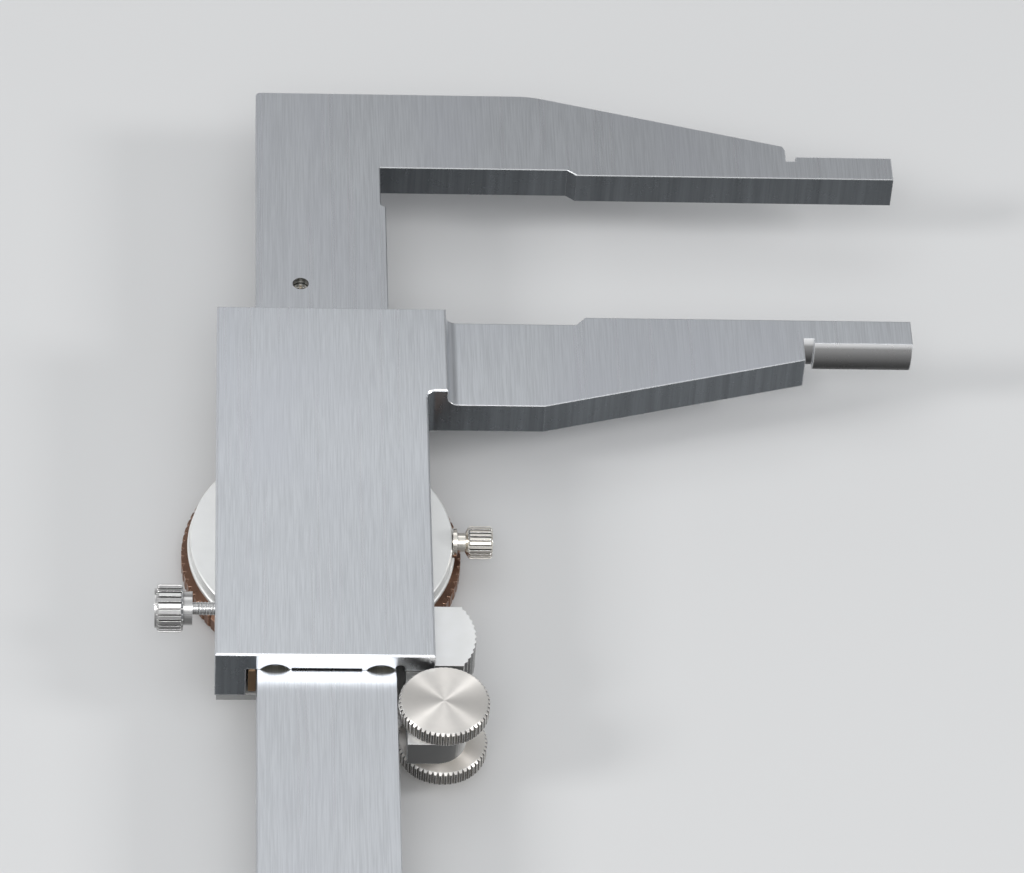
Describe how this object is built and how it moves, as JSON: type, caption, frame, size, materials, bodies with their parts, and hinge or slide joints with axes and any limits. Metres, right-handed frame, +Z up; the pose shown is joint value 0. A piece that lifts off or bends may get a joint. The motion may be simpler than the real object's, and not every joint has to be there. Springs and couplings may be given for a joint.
{
  "type": "dial caliper",
  "caption": "Satin steel dial caliper with long nib jaws, lying dial down: slider with rack-driven dial, copper-brown notched bezel, knurled thumb roller and lock screw.",
  "frame": {"origin": "On the beam's centre line, in the plane of the fixed measuring face and in the beam's back face.", "axes": "X across the beam towards the jaw tips, Y along the beam towards the fixed jaw, Z up out of the back; the dial faces down."},
  "size_m": [0.1024, 0.396, 0.0148],
  "materials": {
    "hardened_steel": "satin, fine lengthwise grain with bright ground edges",
    "slider_steel": "satin, fine lengthwise grain, slightly lighter than the beam",
    "rack_steel": "machined, semi-bright",
    "satin_chrome": "satin chrome, smooth",
    "screw_nickel": "bright nickel, slightly warm",
    "gib_bronze": "bare bronze, dull",
    "knob_steel": "turned, knurled, semi-bright",
    "knob_nickel": "turned, knurled, warm nickel",
    "movement_brass": "lapped brass",
    "pointer_black": "matt black",
    "dial_white": "matt white with black print",
    "bezel_copper": "coppery brown plating, semi-bright",
    "crystal_clear": "clear, polished",
    "rest_matte": "pale matt silver, bead-blasted",
    "roller_warm": "turned face with fine circular grain, warm silver"
  },
  "bodies": {
    "frame": {"beam": "hardened_steel", "rack": "rack_steel", "rack_screws": "screw_nickel", "stop_screw": "screw_nickel"},
    "slide": {"slider": "slider_steel", "cover_plate": "satin_chrome", "cover_screws": "screw_nickel", "gib_strip": "gib_bronze", "gib_screws": "screw_nickel", "dial_case": "satin_chrome", "case_screws": "screw_nickel", "movement_bridge": "movement_brass", "bridge_screws": "screw_nickel", "snap_ring": "rack_steel", "thumb_rest": "rest_matte", "rest_screws": "screw_nickel"},
    "pinion_arbor": {"rack_pinion": "rack_steel", "drive_wheel": "movement_brass", "backlash_wheel": "movement_brass", "wheel_spring": "rack_steel"},
    "pointer_arbor": {"centre_pinion": "rack_steel", "pointer": "pointer_black"},
    "bezel_ring": {"bezel": "bezel_copper", "crystal": "crystal_clear", "dial_plate": "dial_white"},
    "roller": {"roller_upper": "roller_warm", "roller_lower": "roller_warm", "roller_screw": "screw_nickel"},
    "lock": {"lock_screw": "knob_steel"},
    "bezel_clamp": {"clamp_screw": "knob_nickel"}
  },
  "joints": [
    {"name": "slider_slide", "type": "slide", "parent": "frame", "child": "slide", "axis": [0, 1, 0], "range_m": [-0.272, 0.02798]},
    {"name": "pinion_spin", "type": "hinge", "parent": "slide", "child": "pinion_arbor", "pos_m": [-0.00025, -0.0561, -0.006], "axis": [0, 0, 1], "continuous": true},
    {"name": "pointer_spin", "type": "hinge", "parent": "slide", "child": "pointer_arbor", "pos_m": [-0.00025, -0.0633, -0.009], "axis": [0, 0, 1], "continuous": true},
    {"name": "roller_spin", "type": "hinge", "parent": "slide", "child": "roller", "pos_m": [0.01483, -0.09785, -0.003], "axis": [0, 0, 1], "continuous": true},
    {"name": "bezel_turn", "type": "hinge", "parent": "slide", "child": "bezel_ring", "pos_m": [-0.00025, -0.0633, -0.01], "axis": [0, 0, 1], "continuous": true},
    {"name": "lock_screw_turn", "type": "hinge", "parent": "slide", "child": "lock", "pos_m": [-0.0202, -0.0793, -0.0025], "axis": [-1, 0, 0], "range_deg": [0, 360]},
    {"name": "clamp_screw_turn", "type": "hinge", "parent": "slide", "child": "bezel_clamp", "pos_m": [0.0203, -0.0633, -0.00687], "axis": [1, 0, 0], "range_deg": [0, 360]}
  ],
  "couplings": [
    {"joint": "pinion_spin", "follows": "slider_slide", "rad_per_m": 628.32},
    {"joint": "pointer_spin", "follows": "slider_slide", "rad_per_m": -3141.6},
    {"joint": "roller_spin", "follows": "slider_slide", "rad_per_m": 172.41}
  ]
}
